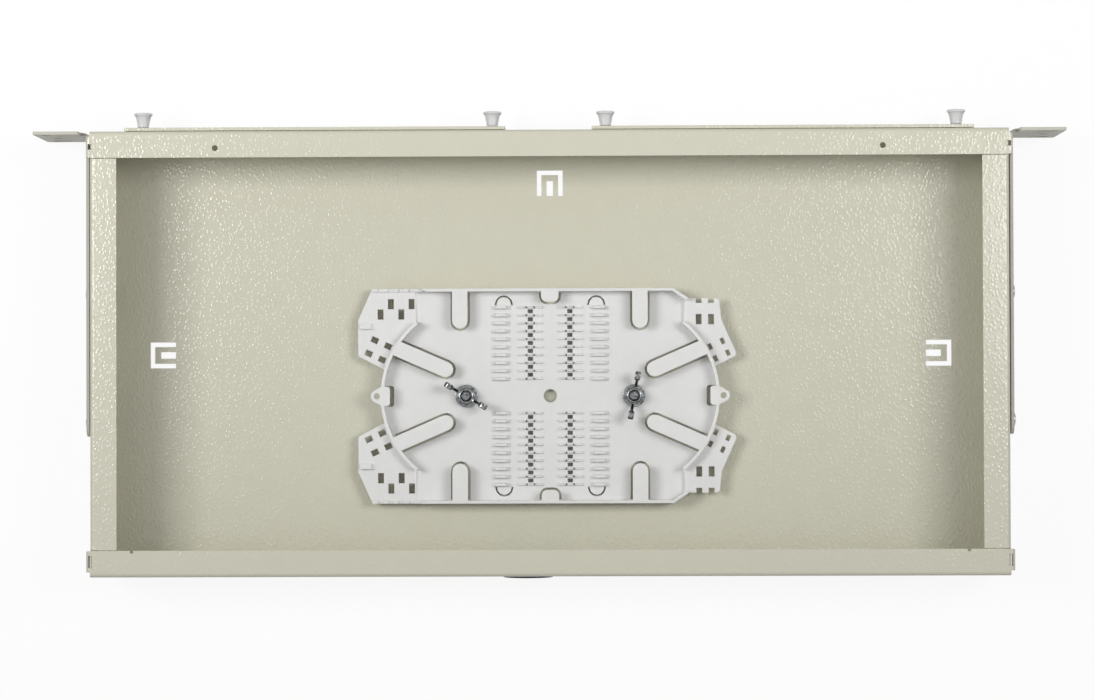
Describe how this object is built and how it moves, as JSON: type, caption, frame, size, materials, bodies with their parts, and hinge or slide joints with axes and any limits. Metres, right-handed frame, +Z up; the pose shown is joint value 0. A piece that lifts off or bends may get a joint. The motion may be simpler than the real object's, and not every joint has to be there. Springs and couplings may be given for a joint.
{
  "type": "fibre distribution box",
  "caption": "Open 19 inch rack box for optical fibre: folded steel chassis with rack ears, latched front plates and a moulded splice tray.",
  "frame": {"origin": "middle of the floor's underside", "axes": "+Z up, -Y towards the front plates, +X towards the left end as seen from above with the front at the top"},
  "size_m": [0.4826, 0.22, 0.044],
  "materials": {
    "body_paint": "satin",
    "ear_paint": "satin",
    "white_plastic": "satin",
    "clear_nylon": "satin",
    "zinc_steel": "satin",
    "black_rubber": "matte"
  },
  "bodies": {
    "box": {"chassis": "body_paint", "front_plate_left": "body_paint", "front_plate_right": "body_paint", "latch_sleeve_left_outer": "clear_nylon", "latch_sleeve_left_inner": "clear_nylon", "latch_sleeve_right_inner": "clear_nylon", "latch_sleeve_right_outer": "clear_nylon", "rack_ear_left": "ear_paint", "blind_nut_left_front": "zinc_steel", "ear_screw_left_front": "zinc_steel", "blind_nut_left_rear": "zinc_steel", "ear_screw_left_rear": "zinc_steel", "rack_ear_right": "ear_paint", "blind_nut_right_front": "zinc_steel", "ear_screw_right_front": "zinc_steel", "blind_nut_right_rear": "zinc_steel", "ear_screw_right_rear": "zinc_steel", "splice_tray": "white_plastic", "tray_stud_left": "zinc_steel", "tray_spacer_left": "zinc_steel", "tray_washer_left": "zinc_steel", "tray_stud_right": "zinc_steel", "tray_spacer_right": "zinc_steel", "tray_washer_right": "zinc_steel", "rear_cable_grommet": "black_rubber"},
    "latch_plunger_left_outer": {"latch_plunger_left_outer": "clear_nylon"},
    "latch_plunger_left_inner": {"latch_plunger_left_inner": "clear_nylon"},
    "latch_plunger_right_inner": {"latch_plunger_right_inner": "clear_nylon"},
    "latch_plunger_right_outer": {"latch_plunger_right_outer": "clear_nylon"},
    "wing_nut_left": {"wing_nut_left": "zinc_steel"},
    "wing_nut_right": {"wing_nut_right": "zinc_steel"}
  },
  "joints": [
    {"name": "latch_pull_left_outer", "type": "slide", "parent": "box", "child": "latch_plunger_left_outer", "axis": [0, -1, 0], "range_m": [0, 0.0055]},
    {"name": "latch_pull_left_inner", "type": "slide", "parent": "box", "child": "latch_plunger_left_inner", "axis": [0, -1, 0], "range_m": [0, 0.0055]},
    {"name": "latch_pull_right_inner", "type": "slide", "parent": "box", "child": "latch_plunger_right_inner", "axis": [0, -1, 0], "range_m": [0, 0.0055]},
    {"name": "latch_pull_right_outer", "type": "slide", "parent": "box", "child": "latch_plunger_right_outer", "axis": [0, -1, 0], "range_m": [0, 0.0055]},
    {"name": "wing_nut_turn_left", "type": "hinge", "parent": "box", "child": "wing_nut_left", "pos_m": [0.04005, 0.02, 0.009], "axis": [0, 0, 1], "continuous": true},
    {"name": "wing_nut_turn_right", "type": "hinge", "parent": "box", "child": "wing_nut_right", "pos_m": [-0.04005, 0.02, 0.009], "axis": [0, 0, 1], "continuous": true}
  ]
}
